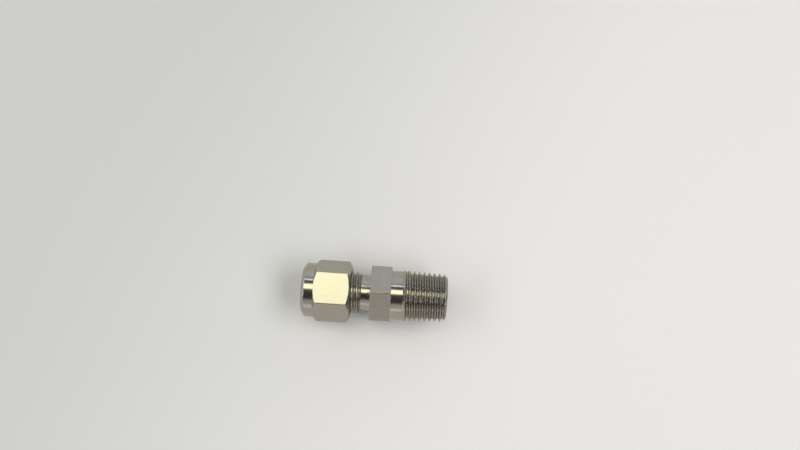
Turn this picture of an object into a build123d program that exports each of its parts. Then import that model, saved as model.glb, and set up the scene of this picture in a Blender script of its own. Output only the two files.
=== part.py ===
from build123d import *
from math import atan, ceil, cos, degrees, radians, sqrt, tan
import os

# Male tube fitting: a quarter inch tube on the left, an R 1/4 taper pipe thread on the right.
# Everything is in millimetres.  The axis of the fitting is X, the tube end is at -X, Z is up.
# x = 0 is the shoulder inside the body where the end of the tube stops.

# Tube, and the play round it in each piece
tube_dia = 6.35
socket_play = 0.10
ferrule_play = 0.13
nut_bore_play = 0.25

# Passages inside the body
flow_bore_dia = 4.8
socket_depth = 4.6
cone_length = 3.0
cone_rise = 0.825
bore_edge_break = 0.3

# Wrench hexagons of body and nut, 9/16 inch across flats
hex_flats = 14.2875
hex_corner_radius = 0.35
hex_chamfer_angle = 30.0
body_hex_x = 2.8
body_hex_width = 5.4
body_corner_trim = 0.50

# Nose with the coupling thread 7/16-20, a fine thread drawn plain at its major diameter
nose_land = 0.68
nose_chamfer = 0.8
nose_thread_end_x = 0.35
coupling_depth = 0.75
neck_relief = 0.08

# Male end with the taper pipe thread R 1/4, 19 threads to the inch
male_end_length = 14.7
male_neck_length = 3.1
pipe_gauge_dia = 13.157
pipe_gauge_length = 6.0
pipe_taper = 1 / 32
pipe_pitch = 1.337
pipe_depth = 0.82
pipe_crest_flat = 0.10
pipe_half_angle = 27.5
pipe_first_groove = 1.166
pipe_runout_turns = 0.5
pipe_neck_relief = 0.35
pipe_neck_step = 0.45
pipe_end_chamfer = 0.95

# Ferrules, from the tube outwards
ferrule_gap = 0.06
front_tip_wall = 0.30
front_cone_play = 0.07
front_cone_length = 3.25
front_cone_slope = 0.2
front_rim_length = 0.9
back_tip_wall = 0.21
back_nose_rise = 0.65
back_nose_length = 0.95
back_flange_length = 0.48
flange_height = 0.50

# Nut
nut_length = 12.7
nut_clocking = 27.0
nut_bore_length = 3.12
nut_shoulder_gap = 0.08
nut_chamber_play = 0.15
nut_thread_length = 7.9
nut_thread_clearance = 0.12
nut_corner_trim = 1.50
collar_length = 3.2
collar_step = 0.04
collar_chamfer_axial = 0.8
collar_chamfer_radial = 1.1
collar_shoulder_angle = 35.0

# Body: radii and stations that follow from the sizes above
socket_r = (tube_dia + socket_play) / 2
flow_r = flow_bore_dia / 2
cone_mouth_r = socket_r + cone_rise
cone_slope = cone_rise / cone_length
nose_end_x = -socket_depth - cone_length
coupling_r = cone_mouth_r + nose_land + nose_chamfer
coupling_root_r = coupling_r - coupling_depth
neck_r = coupling_root_r - neck_relief
hex_corner_r = hex_flats / sqrt(3)
body_hex_end_x = body_hex_x + body_hex_width
overall_end_x = body_hex_end_x + male_end_length
male_neck_end_x = body_hex_end_x + male_neck_length
pipe_gauge_x = overall_end_x - pipe_gauge_length
pipe_groove_x = male_neck_end_x + pipe_first_groove
pipe_turns = ceil((overall_end_x - pipe_groove_x) / pipe_pitch)

# Ferrules: the front one sits in the mouth of the body, the back one in the front one
ferrule_bore_r = (tube_dia + ferrule_play) / 2
front_tip_r = ferrule_bore_r + front_tip_wall
front_tip_x = nose_end_x + (cone_mouth_r - front_cone_play - front_tip_r) / cone_slope
front_rim_x = front_tip_x - front_cone_length
front_back_x = front_rim_x - front_rim_length
back_tip_r = ferrule_bore_r + back_tip_wall
back_nose_r = back_tip_r + back_nose_rise
ferrule_r = back_nose_r + flange_height
back_flange_x = front_back_x - ferrule_gap
back_rear_x = back_flange_x - back_flange_length

# Nut: its shoulder bears on the back ferrule, and the rest of it follows
nut_bore_r = (tube_dia + nut_bore_play) / 2
chamber_r = ferrule_r + nut_chamber_play
nut_shoulder_x = back_rear_x - nut_shoulder_gap - (ferrule_r - nut_bore_r)
nut_face_x = nut_shoulder_x - nut_bore_length
nut_inner_x = nut_face_x + nut_length
nut_hex_x = nut_face_x + collar_length
nut_thread_x = nut_inner_x - nut_thread_length
nut_thread_r = coupling_r + nut_thread_clearance
collar_r = hex_flats / 2 - collar_step


def pipe_crest_r(x):
    """Crest radius of the taper thread at station x."""
    return pipe_gauge_dia / 2 + (pipe_gauge_x - x) * pipe_taper


male_neck_r = pipe_crest_r(male_neck_end_x) - pipe_neck_relief


def ring(points):
    """Solid of revolution round the X axis from a closed profile of (x, radius) points."""
    with BuildPart(mode=Mode.PRIVATE) as turned:
        with BuildSketch(Plane.XY):
            with BuildLine():
                Polyline(*points, close=True)
            make_face()
        revolve(axis=Axis.X)
    return turned.part


def hex_bar(x, width, clocking):
    """Hexagonal bar from x to x + width with lightly rounded corners."""
    with BuildPart(mode=Mode.PRIVATE) as bar:
        with BuildSketch(Plane.YZ.offset(x)) as outline:
            RegularPolygon(hex_flats / 2, 6, major_radius=False, rotation=90 + clocking)
            fillet(outline.vertices(), hex_corner_radius)
        extrude(amount=width)
    return bar.part


def corner_chamfer(face_x, inward, face_r, angle):
    """Ring that turns the corners of a hexagon down towards radius face_r at face_x."""
    outer_r = hex_flats
    run = (outer_r - face_r) * tan(radians(angle)) * inward
    return ring([(face_x, face_r), (face_x, outer_r), (face_x + run, outer_r)])


def groove(pitch, x, r, lower, upper, height, lean=0.0, fall=0.0, turns=1.04):
    """Piece of a thread groove wound round X, starting straight above the axis at station x.

    Its half width grows from lower at radius r to upper at r + height.  Its floor leans
    by lean per unit of X, and the whole strip falls towards the axis by fall per unit.
    """
    cone = -degrees(atan(fall))

    def edge(dx, radius):
        return Edge.make_helix(
            pitch / cos(radians(cone)), pitch * turns, radius - lean * dx,
            center=(x + dx, 0, 0), normal=(1, 0, 0), angle=cone,
        )

    edges = [edge(-lower, r), edge(lower, r), edge(upper, r + height), edge(-upper, r + height)]
    walls = [Face.make_surface_from_curves(edges[i], edges[(i + 1) % 4]) for i in range(4)]
    ends = [Face(Wire.make_polygon([e @ t for e in edges], close=True)) for t in (0, 1)]
    return Solid(Shell(walls + ends))


# Half widths of the pipe thread groove, at the root and a little above the crest
cutter_rise = 0.25
pipe_slope = tan(radians(pipe_half_angle))
pipe_half_top = (pipe_pitch - pipe_crest_flat) / 2
pipe_lower = pipe_half_top - pipe_depth * pipe_slope
pipe_upper = pipe_half_top + cutter_rise * pipe_slope

# Profiles of the turned ends of the body
nose_profile = [
    (nose_end_x, cone_mouth_r),
    (nose_end_x, coupling_r - nose_chamfer),
    (nose_end_x + nose_chamfer, coupling_r),
    (nose_thread_end_x - coupling_depth, coupling_r),
    (nose_thread_end_x, coupling_root_r),
    (nose_thread_end_x, neck_r),
    (body_hex_x + 0.1, neck_r),
    (body_hex_x + 0.1, flow_r),
    (0, flow_r),
    (0, socket_r),
    (-socket_depth, socket_r),
]
male_profile = [
    (body_hex_end_x - 0.1, flow_r),
    (body_hex_end_x - 0.1, male_neck_r),
    (male_neck_end_x, male_neck_r),
    (male_neck_end_x + pipe_neck_step, pipe_crest_r(male_neck_end_x + pipe_neck_step)),
    (overall_end_x - pipe_end_chamfer, pipe_crest_r(overall_end_x - pipe_end_chamfer)),
    (overall_end_x, pipe_crest_r(overall_end_x) - pipe_depth),
    (overall_end_x, flow_r + bore_edge_break),
    (overall_end_x - bore_edge_break, flow_r),
]

with BuildPart() as body:
    # Nose, hexagon and male end are one turned bar
    add(ring(nose_profile))
    add(hex_bar(body_hex_x, body_hex_width, 0))
    with BuildSketch(Plane.YZ.offset(body_hex_x)):
        Circle(flow_r)
    extrude(amount=body_hex_width, mode=Mode.SUBTRACT)
    for end_x, inward in ((body_hex_x, 1), (body_hex_end_x, -1)):
        add(
            corner_chamfer(end_x, inward, hex_corner_r - body_corner_trim, hex_chamfer_angle),
            mode=Mode.SUBTRACT,
        )
    add(ring(male_profile))

    # Taper thread, turn by turn towards the open end
    for i in range(pipe_turns):
        turn_x = pipe_groove_x + i * pipe_pitch
        add(
            groove(
                pipe_pitch, turn_x, pipe_crest_r(turn_x) - pipe_depth,
                pipe_lower, pipe_upper, pipe_depth + cutter_rise,
                lean=pipe_taper, fall=pipe_taper,
            ),
            mode=Mode.SUBTRACT,
        )

    # Run-out, where the tool leaves the metal on its way to the neck
    runout_x = pipe_groove_x - pipe_runout_turns * pipe_pitch
    runout_fall = (pipe_depth + pipe_taper) / (pipe_runout_turns * pipe_pitch)
    runout = groove(
        pipe_pitch, runout_x, pipe_crest_r(runout_x),
        pipe_lower, pipe_upper, pipe_depth + cutter_rise,
        lean=pipe_taper, fall=runout_fall, turns=pipe_runout_turns + 0.01,
    )
    add(runout.rotate(Axis.X, -360 * pipe_runout_turns), mode=Mode.SUBTRACT)

# Nut: round collar at the tube end, hexagon, chamber for the ferrules behind the thread
nut_profile = [
    (nut_face_x, nut_bore_r + bore_edge_break),
    (nut_face_x, collar_r - collar_chamfer_radial),
    (nut_face_x + collar_chamfer_axial, collar_r),
    (nut_hex_x + 0.5, collar_r),
    (nut_hex_x + 0.5, nut_bore_r),
    (nut_face_x + bore_edge_break, nut_bore_r),
]
hollow_profile = [
    (nut_shoulder_x - 1.0, 0),
    (nut_shoulder_x - 1.0, nut_bore_r),
    (nut_shoulder_x, nut_bore_r),
    (nut_shoulder_x + chamber_r - nut_bore_r, chamber_r),
    (nut_thread_x, chamber_r),
    (nut_thread_x, nut_thread_r),
    (nut_inner_x, nut_thread_r),
    (nut_inner_x, 0),
]

with BuildPart() as nut:
    add(hex_bar(nut_hex_x, nut_length - collar_length, nut_clocking))
    add(
        corner_chamfer(nut_hex_x, 1, collar_r, collar_shoulder_angle),
        mode=Mode.SUBTRACT,
    )
    add(
        corner_chamfer(nut_inner_x, -1, hex_corner_r - nut_corner_trim, hex_chamfer_angle),
        mode=Mode.SUBTRACT,
    )
    add(ring(nut_profile))
    add(ring(hollow_profile), mode=Mode.SUBTRACT)

# Front ferrule: cone towards the body, recess for the back ferrule behind
front_profile = [
    (front_tip_x, ferrule_bore_r),
    (front_tip_x, front_tip_r),
    (front_rim_x, front_tip_r + front_cone_length * front_cone_slope),
    (front_rim_x, ferrule_r),
    (front_back_x, ferrule_r),
    (front_back_x, back_nose_r + ferrule_gap),
    (front_back_x + back_nose_length, back_tip_r + ferrule_gap),
    (front_back_x + back_nose_length, ferrule_bore_r),
]

with BuildPart() as front_ferrule:
    add(ring(front_profile))

# Back ferrule: nose into the front ferrule, sloping rear face against the nut
back_profile = [
    (back_flange_x + back_nose_length, ferrule_bore_r),
    (back_flange_x + back_nose_length, back_tip_r),
    (back_flange_x, back_nose_r),
    (back_flange_x, ferrule_r),
    (back_rear_x, ferrule_r),
    (back_rear_x - (ferrule_r - ferrule_bore_r), ferrule_bore_r),
]

with BuildPart() as back_ferrule:
    add(ring(back_profile))

body.part.label = "body"
nut.part.label = "nut"
front_ferrule.part.label = "front_ferrule"
back_ferrule.part.label = "back_ferrule"

os.makedirs("parts", exist_ok=True)
export_step(body.part, "parts/body.step")
export_step(nut.part, "parts/nut.step")
export_step(front_ferrule.part, "parts/front_ferrule.step")
export_step(back_ferrule.part, "parts/back_ferrule.step")
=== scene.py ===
# %% [markdown]
# # A tube fitting on a pale table
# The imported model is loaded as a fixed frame. The plain solids of body, nut and ferrules
# are then replaced by finer meshes of the same sizes, with both threads cut in full.

# %% Load the frame
import math

import bmesh
import bpy
from mathutils import Matrix, Vector


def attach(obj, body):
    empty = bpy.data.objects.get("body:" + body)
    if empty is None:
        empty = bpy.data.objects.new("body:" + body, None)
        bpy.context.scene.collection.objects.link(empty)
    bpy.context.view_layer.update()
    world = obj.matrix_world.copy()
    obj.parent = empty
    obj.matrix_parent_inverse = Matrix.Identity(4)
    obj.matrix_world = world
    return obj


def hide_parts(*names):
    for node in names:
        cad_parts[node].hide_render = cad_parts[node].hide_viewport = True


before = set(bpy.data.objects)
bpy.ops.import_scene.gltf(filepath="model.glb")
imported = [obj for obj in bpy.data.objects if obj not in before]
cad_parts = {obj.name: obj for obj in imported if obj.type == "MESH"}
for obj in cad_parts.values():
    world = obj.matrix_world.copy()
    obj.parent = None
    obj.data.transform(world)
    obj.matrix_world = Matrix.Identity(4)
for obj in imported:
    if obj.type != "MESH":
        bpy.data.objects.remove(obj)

MM = 0.001
TURN = 2 * math.pi
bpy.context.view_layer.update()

# %% [markdown]
# ## Sizes
# All sizes are in millimetres, along X, the axis of the fitting, or as radii round it, and
# x = 0 is where the tube stops. They repeat those of the solids, so that every piece made
# here fits its CAD node. New are the coupling thread, the small arcs at edges and the least
# width of the body's chamfers. The sizes in this cell are the ones that several pieces share.

# %% Sizes shared by the pieces
FLAT, NUT_LEAN = 7.14375, 3
NUT_FACE, MALE_END, EDGE_BREAK = -15.19, 22.9, 0.3
NOSE_CREST, COUPLING_PITCH, COUPLING_GROOVE = 5.53, 1.27, -2.63
PIPE_GAUGE_X, PIPE_GAUGE_R, PIPE_TAPER = 16.9, 6.5785, 1 / 32
TAN30 = math.tan(math.radians(30))


def pipe_crest(x):
    """Crest radius of the taper thread at x."""
    return PIPE_GAUGE_R + (PIPE_GAUGE_X - x) * PIPE_TAPER


print("overall length", round(MALE_END - NUT_FACE, 2), "mm")

# %% [markdown]
# ## Shapes turned on a lathe
# Most surfaces of the real fitting look turned. A spin or a screw modifier could turn an
# outline here too, but the hexagons and threads need an outline that changes on its way
# round. So a piece is a grid of points, one outline of (x, radius) for every angle.
# Each corner of an outline gets a small arc, because real edges catch the light.

# %% Outlines with rounded corners
ARC_STEPS = 3
SMALL = 1e-6
MOST_OF_A_RUN = 0.45


def rounded(outline):
    """Replaces each (x, r, radius) corner by an arc of that radius, kept inside its two runs."""
    points = []
    last = len(outline) - 1
    for i, (x, r, radius) in enumerate(outline):
        here = Vector((x, r))
        if i in (0, last) or radius <= 0:
            points += [here] * (1 if i in (0, last) else ARC_STEPS + 1)
            continue
        back = Vector(outline[i - 1][:2]) - here
        ahead = Vector(outline[i + 1][:2]) - here
        if min(back.length, ahead.length) < SMALL:
            points += [here] * (ARC_STEPS + 1)
            continue
        half = back.angle(ahead) / 2
        cut = min(radius / max(math.tan(half), SMALL),
                  MOST_OF_A_RUN * back.length, MOST_OF_A_RUN * ahead.length)
        a, b = here + back.normalized() * cut, here + ahead.normalized() * cut
        for k in range(ARC_STEPS + 1):
            t = k / ARC_STEPS
            points.append(a.lerp(here, t).lerp(here.lerp(b, t), t))
    return points


print("rounded corner", len(rounded([(0, 0, 0), (1, 0, 0.1), (1, 1, 0)])), "points")

# %% [markdown]
# The grid's rows are joined into four-sided faces. The last row is joined to the first one
# where the surface closes on itself, and not where it winds on, as a thread does.

# %% Turned surfaces
AROUND = 96


def skin(builder, rows, material, closed=True, flip=False):
    """Joins rows of (x, y, z) points into faces with one material."""
    made = [[builder.verts.new(Vector(p) * MM) for p in row] for row in rows]
    count = len(made)
    for i in range(count if closed else count - 1):
        row, following = made[i], made[(i + 1) % count]
        for k in range(len(row) - 1):
            corners = [row[k], following[k], following[k + 1], row[k + 1]]
            if flip:
                corners.reverse()
            face = builder.faces.new(corners)
            face.material_index = material
            face.smooth = True


def around(angle, x, r):
    """Point at radius r, where angle 0 is straight up and growing angles go towards -Y."""
    return (x, -r * math.sin(angle), r * math.cos(angle))


def turn(builder, outline, material):
    """A plain turned surface."""
    points = rounded(outline)
    rows = [[around(TURN * i / AROUND, x, r) for x, r in points] for i in range(AROUND)]
    skin(builder, rows, material)


print("a turn has", AROUND, "rows")

# %% [markdown]
# The hexagons look like drawn bar, turned down at the ends. Cutting a hexagonal prism with a cone
# would give them too, but with worse faces for the light. Here the bar's radius at each angle
# sets where its end chamfers stop, so the line where a cone meets a flat is curved.
# Such a piece has the finish of its flats first and that of its turned surfaces second.

# %% Hexagons
HEX_CORNER_ARC, FLAT_STEPS, CORNER_STEPS = 0.35, 22, 5
FLATS, TURNED = 0, 1
CHAMFER_LEAN = 0.35


def hex_angles(clocking):
    """Pairs of (angle, radius) once round a hexagon with rounded corners."""
    inner = FLAT - HEX_CORNER_ARC
    tangent = math.atan2(inner * TAN30, FLAT)
    centre = inner / math.cos(math.pi / 6)
    pairs = []
    for side in range(6):
        middle = math.radians(clocking + 60 * side)
        for k in range(FLAT_STEPS + 1):
            local = -tangent + 2 * tangent * k / FLAT_STEPS
            pairs.append((middle + local, FLAT / math.cos(local)))
        for k in range(1, CORNER_STEPS):
            lean = math.radians(30) * (2 * k / CORNER_STEPS - 1)
            y = HEX_CORNER_ARC * math.sin(lean)
            x = centre + HEX_CORNER_ARC * math.cos(lean)
            pairs.append((middle + math.pi / 6 + math.atan2(y, x), math.hypot(x, y)))
    return pairs


def hexagon(builder, pairs, outline_at):
    """Skin of a hexagonal piece. outline_at(radius) is its outline at that radius of the bar."""
    rows = [[around(angle, x, r) for x, r in rounded(outline_at(radius))]
            for angle, radius in pairs]
    first = len(builder.faces)
    skin(builder, rows, FLATS)
    builder.faces.ensure_lookup_table()
    for face in builder.faces[first:]:
        face.normal_update()
        if abs(face.normal.x) > CHAMFER_LEAN:
            face.material_index = TURNED


print("points round a hexagon", len(hex_angles(0)))

# %% [markdown]
# ## Threads
# A screw modifier could wind a thread, but it can't let one run out into a plain neck.
# So a thread is one strip wound round the axis, a pitch wide, with a groove in its middle.
# Each turn shares its edge with the next one. The ends are clipped by the turned outline.

# %% Thread strips
FLANKS, FLANK_PARTS = (4, 12), 4


def groove_outline(pitch, depth, floor, slope, crest_arc, root_arc, lift=0.0):
    """Outline (offset along the axis, depth) across one pitch, with the cutter lifted by lift."""
    depth = max(depth - lift, 0.0)
    top = floor + depth * slope
    corners = [(-pitch / 2, 0, 0), (-top, 0, crest_arc), (-floor, depth, root_arc),
               (floor, depth, root_arc), (top, 0, crest_arc), (pitch / 2, 0, 0)]
    points = rounded(corners)
    fine = []
    for i, (a, b) in enumerate(zip(points, points[1:])):
        parts = FLANK_PARTS if i in FLANKS else 1
        fine += [a.lerp(b, k / parts) for k in range(parts)]
    return fine + [points[-1]]


def thread(builder, pitch, start, turns, shape_at, surface_at, low, high, material,
           inside=False):
    """Winds shape_at(turn) from turns[0] to turns[1] and clips it to low..high along the axis."""
    count = round((turns[1] - turns[0]) * AROUND)
    grid = []
    for j in range(count + 1):
        t = turns[0] + j / AROUND
        row = []
        for offset, depth in shape_at(t):
            x = min(max(start + t * pitch + offset, low), high)
            row.append(around(TURN * t, x, surface_at(x, depth)))
        grid.append(row)
    skin(builder, grid, material, closed=False, flip=inside)


print("points across one groove", len(groove_outline(1.0, 0.5, 0.1, TAN30, 0.05, 0.05)))

# %% [markdown]
# Every piece goes through one last step. Points that fell together are merged, and a
# modifier lets the wide faces decide the shading, so that the small arcs at their edges
# don't bend the reflections in them.

# %% From builder to object
MERGE_GAP, NO_LENGTH = 2e-7, 1e-7
SHARP_FROM, WIDE_FACE_WEIGHT = 30, 80


def finish_piece(name, builder, materials, body, node):
    """Makes the object, gives it its finishes and lets it stand for the CAD node."""
    bmesh.ops.remove_doubles(builder, verts=builder.verts, dist=MERGE_GAP)
    bmesh.ops.dissolve_degenerate(builder, edges=builder.edges, dist=NO_LENGTH)
    mesh = bpy.data.meshes.new(name)
    builder.to_mesh(mesh)
    builder.free()
    for material in materials:
        mesh.materials.append(material)
    mesh.set_sharp_from_angle(angle=math.radians(SHARP_FROM))
    piece = bpy.data.objects.new(name, mesh)
    bpy.context.scene.collection.objects.link(piece)
    weigh = piece.modifiers.new("even shading", "WEIGHTED_NORMAL")
    weigh.keep_sharp = True
    weigh.weight = WIDE_FACE_WEIGHT
    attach(piece, body)
    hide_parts(node)
    print(name, len(mesh.polygons), "faces")


print("points closer than", MERGE_GAP, "m become one")

# %% [markdown]
# ## Finishes
# All pieces are stainless steel. What differs is how each surface was made: turned surfaces have
# fine rings and the flats of the drawn bar have streaks along the axis. The threads get painted
# shade in their roots. Photographs of steel could give these marks, but maths follows the shape at
# every scale. It is written with Python's own operators on the nodes' outputs.

# %% Shader maths
class Signal:
    """One output of a shader node, which Python's operators can be used on."""

    def __init__(self, tree, socket=None):
        self.tree = tree
        self.socket = socket

    def node(self, kind, settings=None, values=None, out=0):
        """Any node, from its type, its settings and its socket values."""
        made = self.tree.nodes.new(kind)
        for name, value in (settings or {}).items():
            setattr(made, name, value)
        for key, value in (values or {}).items():
            if isinstance(value, Signal):
                self.tree.links.new(value.socket, made.inputs[key])
            else:
                made.inputs[key].default_value = value
        return Signal(self.tree, made.outputs[out])

    def math(self, operation, *terms):
        return self.node("ShaderNodeMath", {"operation": operation}, dict(enumerate(terms)))

    def __add__(self, other):
        return self.math("ADD", self, other)

    def __sub__(self, other):
        return self.math("SUBTRACT", self, other)

    def __rsub__(self, other):
        return self.math("SUBTRACT", other, self)

    def __mul__(self, other):
        return self.math("MULTIPLY", self, other)

    def __pow__(self, other):
        return self.math("POWER", self, other)

    def __rpow__(self, other):
        return self.math("POWER", other, self)

    __radd__ = __add__
    __rmul__ = __mul__

    def band(self, low, high, edge):
        """1 between low and high, 0 outside, with soft edges."""
        return self.step(low - edge, low + edge) - self.step(high - edge, high + edge)

    def step(self, start, end):
        """Rises softly from 0 at start to 1 at end."""
        return self.node("ShaderNodeMapRange", {"interpolation_type": "SMOOTHSTEP"},
                         {"Value": self, "From Min": start, "From Max": end})

    def mix(self, a, b):
        """Colour a where this signal is 0 and b where it is 1."""
        return self.node("ShaderNodeMix", {"data_type": "RGBA"}, {0: self, 6: a, 7: b}, out=2)

    def scaled(self, x, y, z):
        """This vector with each part multiplied."""
        return self.node("ShaderNodeVectorMath", {"operation": "MULTIPLY"}, {0: self, 1: (x, y, z)})

    def noise(self, detail=2.0, rough=0.5, scale=1.0):
        """Noise between 0 and 1 at this vector."""
        return self.node("ShaderNodeTexNoise", None,
                         {"Vector": self, "Scale": scale, "Detail": detail, "Roughness": rough})


print("operators ready")

# %% [markdown]
# Tools leave marks that are a few thousandths of a millimetre high on turned and drawn steel,
# and a few hundredths where the tool shook. They could be modelled as geometry, but at that
# size only the light shows them, so they go into a bump. Noise stretched round the axis
# gives rings, and noise stretched along it gives streaks.

# %% Marks of the tools
MARK, WIDE_RING, WIDE_STREAK, CHATTER = 0.0035, 0.009, 0.010, 0.03


def marks(place, ring, streak, rings, streaks, chatter):
    """Height of the marks in millimetres."""
    wide_ring = place.scaled(2.6, 0.35, 0.35).noise(2, 0.5)
    wide_streak = place.scaled(0.07, 2.2, 2.2).noise(2, 0.5)
    height = ring * (MARK * rings) + wide_ring * (WIDE_RING * rings)
    height = height + streak * (MARK * streaks) + wide_streak * (WIDE_STREAK * streaks)
    if chatter:
        height = height + place.scaled(2.2, 1.5, 1.5).noise(3, 0.65) * (CHATTER * chatter)
    return height


print("turned steel is marked up to", MARK + WIDE_RING, "mm")

# %% [markdown]
# The roots of the threads get painted shade, darker than their crests, as recesses in shade look. A
# painted mask could show that, but how far a point lies below the crests is known from its place,
# so that is worked out.

# %% Painted shade in the thread roots
ROOT_SHADE_TONE, ROOT_START, ROOT_FULL, ROOT_SHARE = (0.13, 0.115, 0.095, 1), 0.12, 0.9, 0.5


def with_painted_root_shade(place, tone, root_shade_on):
    """Paints shade into a tone below the crests of the pipe thread or of the nose's thread."""
    x, y, z = (place.node("ShaderNodeSeparateXYZ", None, {0: place}, out=k) for k in "XYZ")
    taper = (PIPE_GAUGE_X - x) * PIPE_TAPER + PIPE_GAUGE_R
    crest = taper if root_shade_on == "pipe" else NOSE_CREST
    below = crest - (y * y + z * z) ** 0.5
    low = place.node("ShaderNodeMapRange", None,
                     {"Value": below, "From Min": ROOT_START, "From Max": ROOT_FULL,
                      "To Min": 0.0, "To Max": ROOT_SHARE})
    return low.mix(tone, ROOT_SHADE_TONE)


print("roots are darkest from", ROOT_FULL, "mm below the crests")

# %% [markdown]
# One recipe makes every steel, because the pieces differ only in how strong each kind of mark is.
# `rings`, `streaks` and `chatter` say that, and one more argument names the thread whose roots get
# painted shade.

# %% The steels
FILM = 0.1


def steel(name, colour, rough, rings=0.0, streaks=0.0, root_shade_on=None, chatter=0.0):
    """A stainless finish. Marks are laid in millimetres over the piece's own coordinates."""
    material = bpy.data.materials.new(name)
    material.use_nodes = True
    tree = material.node_tree
    shader = tree.nodes["Principled BSDF"]
    place = Signal(tree).node("ShaderNodeTexCoord", out="Object").scaled(1000, 1000, 1000)
    ring = place.scaled(14, 0.25, 0.25).noise(3, 0.6)
    streak = place.scaled(0.16, 9, 9).noise(3, 0.6)
    cloud = place.scaled(0.55, 0.55, 0.55).noise(3, 0.6)
    bump = place.node("ShaderNodeBump", None,
                      {"Strength": 1.0, "Distance": MM,
                       "Height": marks(place, ring, streak, rings, streaks, chatter)})
    worn = (cloud - 0.5) * FILM
    roughness = rough + worn * 0.5
    roughness = roughness + (ring - 0.5) * (0.10 * rings) + (streak - 0.5) * (0.16 * streaks)
    dark = (0.80 * colour[0], 0.78 * colour[1], 0.72 * colour[2])
    bright = tuple(min(1.0, 1.06 * c) for c in colour)
    tone = cloud * 0.5 + streak * (0.5 * streaks) + ring * (0.3 * rings)
    skin_tone = tone.mix(dark + (1,), bright + (1,))
    # Painted shade: the roots of the named thread are darkened in the base colour.
    if root_shade_on:
        skin_tone = with_painted_root_shade(place, skin_tone, root_shade_on)
    tree.links.new(skin_tone.socket, shader.inputs["Base Color"])
    tree.links.new(roughness.socket, shader.inputs["Roughness"])
    tree.links.new(bump.socket, shader.inputs["Normal"])
    shader.inputs["Metallic"].default_value = 1.0
    return material


turned_steel = steel("turned steel", (0.62, 0.61, 0.585), 0.17, rings=1.0)
neck_steel = steel("rough turned neck", (0.62, 0.61, 0.585), 0.15, rings=1.0, chatter=1.8)
flat_steel = steel("drawn flats", (0.60, 0.59, 0.565), 0.24, streaks=1.0)
thread_steel = steel("cut pipe thread", (0.62, 0.61, 0.58), 0.16, rings=0.15, root_shade_on="pipe")
coupling_steel = steel("cut coupling thread", (0.60, 0.59, 0.56), 0.18, rings=0.15, root_shade_on="nose")
# The bores are painted darker than the outside steel, as painted shade inside the holes; their
# roughness and rings are the bored finish.
shaded_bore_steel = steel("bored steel with painted shade", (0.56, 0.55, 0.52), 0.34, rings=1.2)
ferrule_steel = steel("ferrule steel", (0.66, 0.65, 0.63), 0.20, rings=0.6)
print("finishes", len(bpy.data.materials))

# %% [markdown]
# ## The body
# From left to right: threaded nose, relieved neck, hexagon, plain neck, taper pipe thread.
# The bore runs through it, with the socket and the cone for the ferrules at the left.

# %% The bore and the relieved neck
NECK, PIPE, BORED, COUPLING = 2, 3, 4, 5
FLOW_R, SOCKET_R, CONE_R, NECK_R = 2.4, 3.225, 4.05, 4.70
SOCKET_MOUTH, NOSE_END, NOSE_FACE_R, MALE_FACE_R = -4.6, -7.6, 4.73, 5.6
NECK_START, NECK_FLAT, NECK_FILLET, NECK_WALL = 0.3, 0.42, 2.72, 2.82

bar = bmesh.new()
turn(bar, [(0, FLOW_R, 0), (0, SOCKET_R, 0.03), (SOCKET_MOUTH, SOCKET_R, 0.05),
           (NOSE_END, CONE_R, 0.08), (NOSE_END, NOSE_FACE_R, 0)], BORED)
turn(bar, [(MALE_END, MALE_FACE_R, 0), (MALE_END, FLOW_R + EDGE_BREAK, 0.03),
           (MALE_END - EDGE_BREAK, FLOW_R, 0.05), (0, FLOW_R, 0)], BORED)
turn(bar, [(NECK_START, NECK_R, 0), (NECK_FLAT, NECK_R, 0), (NECK_FILLET, NECK_R, 0.08),
           (NECK_WALL, NECK_R + 0.1, 0)], NECK)
print("bore and neck", len(bar.faces), "faces")

# %% [markdown]
# The body's hexagon is as wide as the bar that the body would be turned from. A corner points
# straight up. Its chamfers keep a small width even over the middle of the flats, because a
# chamfer that fades to nothing shades like a star.

# %% The body's hexagon and plain neck
HEX_LEFT, HEX_RIGHT, HEX_FACE_R, LEAST_CHAMFER = 2.8, 8.2, 7.749, 0.05
HEX_LEFT_INNER_R, HEX_RIGHT_INNER_R = 4.5, 6.2
MALE_NECK_R, MALE_NECK_END = 6.4035, 11.3


def body_hex_outline(radius):
    """Outline of the body's hexagon where its bar is radius from the axis."""
    fall = max((radius - HEX_FACE_R) * TAN30, LEAST_CHAMFER)
    face = min(radius - LEAST_CHAMFER, HEX_FACE_R)
    return [(HEX_LEFT, HEX_LEFT_INNER_R, 0), (HEX_LEFT, face, 0.10),
            (HEX_LEFT + fall, radius, 0.12), (HEX_RIGHT - fall, radius, 0.12),
            (HEX_RIGHT, face, 0.10), (HEX_RIGHT, HEX_RIGHT_INNER_R, 0)]


before = len(bar.faces)
hexagon(bar, hex_angles(30), body_hex_outline)
turn(bar, [(HEX_RIGHT - 0.1, MALE_NECK_R, 0), (MALE_NECK_END, MALE_NECK_R, 0)], TURNED)
print("hexagon and plain neck", len(bar.faces) - before, "faces")

# %% [markdown]
# The taper thread tightens as it is screwed in. Where it meets the neck, the tool is drawn
# back over half a turn, so here too the groove is lifted until it is gone. A cut with a
# boolean would leave long thin faces there. The open end is chamfered to start the thread.

# %% The taper pipe thread
PIPE_PITCH, PIPE_GROOVE, PIPE_DEPTH, PIPE_TURNS = 1.337, 12.466, 0.82, (-1.5, 8.5)
PIPE_ROOT_FLAT, PIPE_SLOPE, RUN_OUT_TURNS, PIPE_STEP = 0.19, 0.5206, 0.5, 0.45
CHAMFER_X, CHAMFER_R, CHAMFER_LENGTH, CHAMFER_FALL = 21.95, 6.42, 0.95, 0.85


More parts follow.
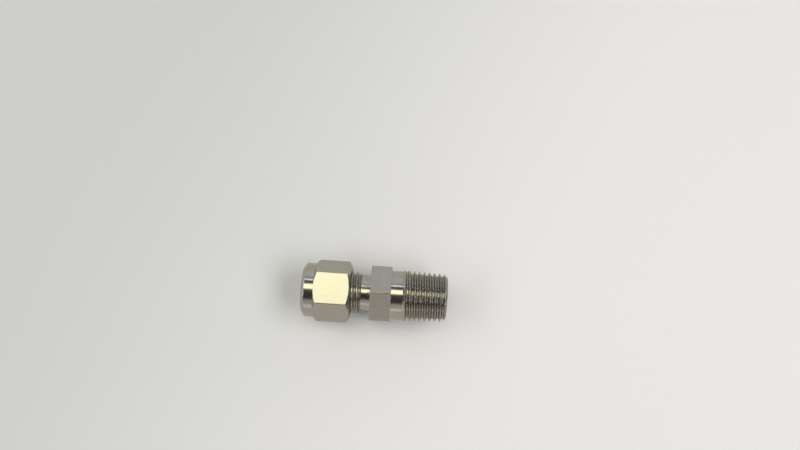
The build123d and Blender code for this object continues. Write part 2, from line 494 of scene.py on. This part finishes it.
def pipe_shape(t):
    """The pipe thread's groove climbs out over the half turn before its first full turn."""
    lift = PIPE_DEPTH * min(max(-t / RUN_OUT_TURNS, 0), 1)
    return groove_outline(PIPE_PITCH, PIPE_DEPTH, PIPE_ROOT_FLAT, PIPE_SLOPE,
                          crest_arc=0.10, root_arc=0.14, lift=lift)


def pipe_surface(x, depth):
    """Radius on the pipe thread, clipped by the step at the neck and the end chamfer."""
    rise = pipe_crest(MALE_NECK_END + PIPE_STEP) - MALE_NECK_R
    step = MALE_NECK_R + (x - MALE_NECK_END) / PIPE_STEP * rise
    chamfer = CHAMFER_R - (x - CHAMFER_X) / CHAMFER_LENGTH * CHAMFER_FALL
    return min(pipe_crest(x) - depth, step, chamfer)


before = len(bar.faces)
thread(bar, PIPE_PITCH, PIPE_GROOVE, PIPE_TURNS, pipe_shape, pipe_surface,
       MALE_NECK_END, MALE_END, PIPE)
print("pipe thread", len(bar.faces) - before, "faces")

# %% [markdown]
# The nose carries a fine parallel thread for the nut. The solids draw it plain, and here it
# gets its grooves, because they are what the eye sees between nut and hexagon. They end at
# the relieved neck. The groove has its full depth all along, and the ends are only clipped.

# %% The coupling thread
COUPLING_DEPTH, COUPLING_ROOT_FLAT, NOSE_TURNS = 0.75, 0.1225, (-4.6, 3.6)
NOSE_FALL, NOSE_THREAD_END = -0.4, 0.35


def nose_shape(t):
    """The coupling thread's groove, the same at every turn t."""
    return groove_outline(COUPLING_PITCH, COUPLING_DEPTH, COUPLING_ROOT_FLAT, TAN30,
                          crest_arc=0.05, root_arc=0.08)


def nose_surface(x, depth):
    """Radius on the nose, clipped by its end chamfer and by the fall to the neck."""
    return min(NOSE_CREST - depth, NOSE_FACE_R + (x - NOSE_END), NOSE_CREST - (x - NOSE_FALL))


thread(bar, COUPLING_PITCH, COUPLING_GROOVE, NOSE_TURNS, nose_shape, nose_surface,
       NOSE_END, NOSE_THREAD_END, COUPLING)
finish_piece("fitting_body_steel", bar,
             [flat_steel, turned_steel, neck_steel, thread_steel, shaded_bore_steel, coupling_steel],
             "fitting_body", "body")

# %% [markdown]
# ## The nut
# A round collar at the tube end, then a hexagon with its near flat turned three degrees.
# It is one piece, and it is made as the body is, by turning and by the same hexagon.

# %% Outside of the nut
NUT_HEX, NUT_INNER, NUT_MOUTH_R = -11.99, -2.49, 3.6
COLLAR_R, COLLAR_CHAMFER, COLLAR_FALL, SHOULDER_ANGLE = 7.10375, 0.8, 1.1, 35
NUT_FACE_R, NUT_THREAD_R, LEAD_IN = 6.749, 5.65, 0.15

nut = bmesh.new()
turn(nut, [(NUT_FACE, NUT_MOUTH_R, 0), (NUT_FACE, COLLAR_R - COLLAR_FALL, 0.15),
           (NUT_FACE + COLLAR_CHAMFER, COLLAR_R, 0.25), (NUT_HEX + 0.3, COLLAR_R, 0)], TURNED)


def nut_hex_outline(radius):
    """Outline of the nut's hexagon, with its shoulder at the collar and its inner chamfer."""
    shoulder = (radius - COLLAR_R) * math.tan(math.radians(SHOULDER_ANGLE))
    fall = (radius - NUT_FACE_R) * TAN30
    return [(NUT_HEX - 0.02, COLLAR_R - 0.04, 0), (NUT_HEX, COLLAR_R, 0.02),
            (NUT_HEX + shoulder, radius, 0.15), (NUT_INNER - fall, radius, 0.10),
            (NUT_INNER, NUT_FACE_R, 0.08), (NUT_INNER, NUT_THREAD_R + LEAD_IN, 0)]


hexagon(nut, hex_angles(-NUT_LEAN), nut_hex_outline)
print("outside of the nut", len(nut.faces), "faces")

# %% [markdown]
# Inside are the hole for the tube, a sloping shoulder that pushes on the back ferrule, the
# chamber for both ferrules and the other half of the thread. None of it shows in the
# photograph, so its sizes follow the tube and what such nuts have.

# %% Holes of the nut
NUT_BORED, NUT_COUPLING = 2, 3
TUBE_HOLE_R, CHAMBER_R = 3.3, 4.75
SHOULDER_START, SHOULDER_END, NUT_THREAD_START = -12.07, -10.62, -10.39

before = len(nut.faces)
# The mouth's point is given twice only to number the mesh as it was when it was checked
turn(nut, [(NUT_FACE, NUT_MOUTH_R, 0), (NUT_FACE, NUT_MOUTH_R, 0),
           (NUT_FACE + EDGE_BREAK, TUBE_HOLE_R, 0.05),
           (SHOULDER_START, TUBE_HOLE_R, 0.04), (SHOULDER_END, CHAMBER_R, 0.04),
           (NUT_THREAD_START, CHAMBER_R, 0.04), (NUT_THREAD_START, NUT_THREAD_R, 0)],
     NUT_BORED)
print("holes of the nut", len(nut.faces) - before, "faces")

# %% [markdown]
# The nut's ridges lie in the grooves of the nose with a little play, on the same helix, so
# they stay in them when the nut is turned. The same strip makes them, with its faces
# turned inwards.

# %% The nut's thread
NUT_RIDGE, NUT_RIDGE_FLAT, NUT_TURNS = 0.70, 0.1606, (-7, 1)


def nut_shape(t):
    """The nut's ridge between the nose's flanks, the same at every turn t."""
    return groove_outline(COUPLING_PITCH, NUT_RIDGE, NUT_RIDGE_FLAT, TAN30,
                          crest_arc=0.05, root_arc=0.03)


def nut_surface(x, depth):
    """Radius inside the nut, opened up by the lead-in at its mouth."""
    return max(NUT_THREAD_R - depth, NUT_THREAD_R + LEAD_IN + (x - NUT_INNER))


thread(nut, COUPLING_PITCH, COUPLING_GROOVE, NUT_TURNS, nut_shape, nut_surface,
       NUT_THREAD_START, NUT_INNER, NUT_COUPLING, inside=True)
finish_piece("nut_steel_shell", nut, [flat_steel, turned_steel, shaded_bore_steel, coupling_steel],
             "nut", "nut")

# %% [markdown]
# ## The ferrules
# Two rings grip the tube when the nut is pulled up. The cone of the front one seats in the
# mouth of the body, and the nose of the back one goes under it. Both are plain turned
# rings, so each is one closed outline. They sit inside the nut and don't show at rest.

# %% Ferrules
RING = 0
FERRULE_HOLE_R, FERRULE_R = 3.24, 4.6
FRONT_TIP, FRONT_RIM, FRONT_REAR, FRONT_POCKET = -6.0, -9.25, -10.15, -9.2
BACK_TIP, BACK_FLANGE, BACK_REAR, BACK_END = -9.26, -10.21, -10.69, -12.05

front = bmesh.new()
turn(front, [(FRONT_TIP, FERRULE_HOLE_R, 0), (FRONT_TIP, 3.54, 0.05), (FRONT_RIM, 4.19, 0.05),
             (FRONT_RIM, FERRULE_R, 0.05), (FRONT_REAR, FERRULE_R, 0.05),
             (FRONT_REAR, 4.16, 0.03), (FRONT_POCKET, 3.51, 0.02),
             (FRONT_POCKET, FERRULE_HOLE_R, 0.02), (FRONT_TIP, FERRULE_HOLE_R, 0)], RING)
finish_piece("front_ferrule_ring", front, [ferrule_steel],
             "ferrule_set", "front_ferrule")
back = bmesh.new()
turn(back, [(BACK_TIP, FERRULE_HOLE_R, 0), (BACK_TIP, 3.45, 0.03), (BACK_FLANGE, 4.1, 0.03),
            (BACK_FLANGE, FERRULE_R, 0.04), (BACK_REAR, FERRULE_R, 0.04),
            (BACK_END, FERRULE_HOLE_R, 0.03), (BACK_TIP, FERRULE_HOLE_R, 0)], RING)
finish_piece("back_ferrule_ring", back, [ferrule_steel],
             "ferrule_set", "back_ferrule")

# %% [markdown]
# ## The table
# The fitting rests on the nut's lower flat and the lowest corner of the body's hexagon.
# The table could be level, with the fitting leaned to lie on it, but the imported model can't
# be turned. So the table leans: it is the plane through that corner and along the left end
# of the flat. It is a stage, so it stays out of the exported model.

# %% Lean of the table
FLAT_END = -11.96
lean = math.radians(NUT_LEAN)
flat_point = Vector((FLAT_END, -FLAT * math.sin(lean), -FLAT * math.cos(lean)))
corner_point = Vector((3.06, 0, -8.195))
across = Vector((0, math.cos(lean), -math.sin(lean)))
table_up = (corner_point - flat_point).cross(across).normalized()
if table_up.z < 0:
    table_up.negate()
print("table normal", [round(c, 4) for c in table_up])

# %% Table top
REACH, HAIR_GAP = 1.5, 0.00002
table_mesh = bpy.data.meshes.new("table top")
side = table_up.orthogonal().normalized()
other = table_up.cross(side)
table_centre = corner_point * MM - table_up * HAIR_GAP
corners = ((-REACH, -REACH), (REACH, -REACH), (REACH, REACH), (-REACH, REACH))
table_mesh.from_pydata([table_centre + side * a + other * b for a, b in corners],
                       [], [(0, 1, 2, 3)])
table = bpy.data.objects.new("table_top", table_mesh)
bpy.context.scene.collection.objects.link(table)
print("table top", 2 * REACH, "m wide")

# %% [markdown]
# The table is plain and pale, with painted shade that makes it a little greyer to the left.
# Straight to the camera it shows its full colour, and in reflections a duller one. Both were set by
# comparing renders with the photograph.

# %% Colour of the table
paper = bpy.data.materials.new("pale table")
paper.use_nodes = True
paper_shader = paper.node_tree.nodes["Principled BSDF"]
paper_start = Signal(paper.node_tree)
spot = paper_start.node("ShaderNodeTexCoord", out="Object")
along, far = (spot.node("ShaderNodeSeparateXYZ", None, {0: spot}, out=k) for k in "XY")
# Painted shade: the table's colour grows greyer towards the left.
left_shade_sweep = (along - 0.45 * far).step(-0.10, 0.06)
grain = spot.noise(3, 0.5, 900)
seen_tone = left_shade_sweep.mix((0.74, 0.755, 0.765, 1), (0.95, 0.945, 0.965, 1))
seen_tone = (grain * 0.04).mix(seen_tone, (0.90, 0.89, 0.87, 1))
seen = paper_start.node("ShaderNodeLightPath", out="Is Camera Ray")
paper_tone = seen.mix((0.62, 0.60, 0.57, 1), seen_tone)
paper.node_tree.links.new(paper_tone.socket, paper_shader.inputs["Base Color"])
paper_shader.inputs["Roughness"].default_value = 0.6
paper_shader.inputs["Specular IOR Level"].default_value = 0.1
table_mesh.materials.append(paper)
print("table colour nodes", len(paper.node_tree.nodes))

# %% [markdown]
# ## Light
# One warm lamp nearly overhead, a cool strip towards the far side, and a lamp at each end.
# They could be placed by eye, but on polished steel each one shows as a band, so each is
# given by how far it leans from straight up, as seen from the fitting.
# The lamps at the ends lean so far along the axis that no flat or cylinder mirrors them to
# this camera. They light the table, and the small arcs at edges catch them.

# %% Lamps
LAMP_DISTANCE = 0.7


def lamp(name, toward_x, toward_y, size_x, size_y, radiance, colour):
    """A rectangular lamp. Its leans from straight up and its widths are in degrees."""
    data = bpy.data.lights.new(name, "AREA")
    data.shape = "RECTANGLE"
    data.size = 2 * LAMP_DISTANCE * math.tan(math.radians(size_x / 2))
    data.size_y = 2 * LAMP_DISTANCE * math.tan(math.radians(size_y / 2))
    data.energy = radiance * math.pi * data.size * data.size_y
    data.color = colour
    leans = [math.tan(math.radians(lean_by)) for lean_by in (toward_x, toward_y)]
    direction = Vector((*leans, 1)).normalized()
    made = bpy.data.objects.new(name, data)
    bpy.context.scene.collection.objects.link(made)
    side_way = (Vector((1, 0, 0)) - direction * direction.x).normalized()
    facing = Matrix((side_way, direction.cross(side_way), direction)).transposed()
    made.matrix_world = Matrix.Translation(direction * LAMP_DISTANCE) @ facing.to_4x4()
    print(name, round(data.size, 3), "by", round(data.size_y, 3), "m")


lamp("warm_lamp", -10, 11, 34, 20, 2.15, (1.0, 0.955, 0.66))
lamp("cool_strip", -4, 41, 24, 5, 2.2, (0.90, 0.95, 1.0))
lamp("right_lamp", 40, -2, 26, 60, 3.3, (1.0, 0.985, 0.98))
lamp("left_lamp", -44, 2, 22, 60, 2.3, (0.97, 0.99, 1.0))

# %% [markdown]
# The room is grey, with a dark ceiling where the camera hangs and lighter walls. Flats and
# cylinders mirror directions that differ mostly in their lean round the fitting's axis, so
# the room is painted in bands by that lean. They were set by comparing the render with the
# photograph. Straight to the camera the room shows a plain pale grey.

# %% Room
DEGREES = 180 / math.pi
world = bpy.data.worlds.new("grey room")
bpy.context.scene.world = world
world.use_nodes = True
room = world.node_tree.nodes["Background"]
sky = Signal(world.node_tree)
way = sky.node("ShaderNodeTexCoord", out="Generated")
way_y, way_z = (sky.node("ShaderNodeSeparateXYZ", None, {0: way}, out=k) for k in "YZ")
tilt = sky.math("ARCTAN2", way_y, way_z) * DEGREES
near_wall = tilt.band(-180, -46, 7)
low_wall = tilt.band(-180, -70, 6)
far_wall = tilt.band(50, 180, 5)
ceiling = near_wall.mix((0.045, 0.043, 0.040, 1), (0.42, 0.40, 0.36, 1))
ceiling = low_wall.mix(ceiling, (0.76, 0.73, 0.67, 1))
ceiling = far_wall.mix(ceiling, (0.54, 0.54, 0.53, 1))
direct = sky.node("ShaderNodeLightPath", out="Is Camera Ray")
ceiling = direct.mix(ceiling, (0.72, 0.715, 0.70, 1))
world.node_tree.links.new(ceiling.socket, room.inputs["Color"])
room.inputs["Strength"].default_value = 1.0
print("room nodes", len(world.node_tree.nodes))

# %% [markdown]
# ## Camera
# It looks almost straight down, from less than 20 cm above the table. A camera can be moved
# by eye until the outlines agree. Here its place and lean were fitted to 18 points that can
# be told apart in the photograph: corners and edges of the hexagons, and thread crests.
# The focal length hardly matters for that fit, so it is a round figure.

# %% Camera
view = bpy.data.cameras.new("photo view")
view.sensor_width = 36
FOCAL_PIXELS, FRAME_PIXELS = 700, 800
CAMERA_PLACE = Vector((9.88, -7.72, 187.6))
view.lens = FOCAL_PIXELS / FRAME_PIXELS * view.sensor_width
view.clip_start = 0.005
camera = bpy.data.objects.new("photo_camera", view)
bpy.context.scene.collection.objects.link(camera)
turn_vector = Vector((0.141, -0.002, 0.064))
camera.matrix_world = (Matrix.Translation(CAMERA_PLACE * MM)
                       @ Matrix.Rotation(turn_vector.length, 4, turn_vector.normalized()))
bpy.context.scene.camera = camera
bpy.context.scene.view_settings.view_transform = "Standard"
print("lens", round(view.lens, 1), "mm")
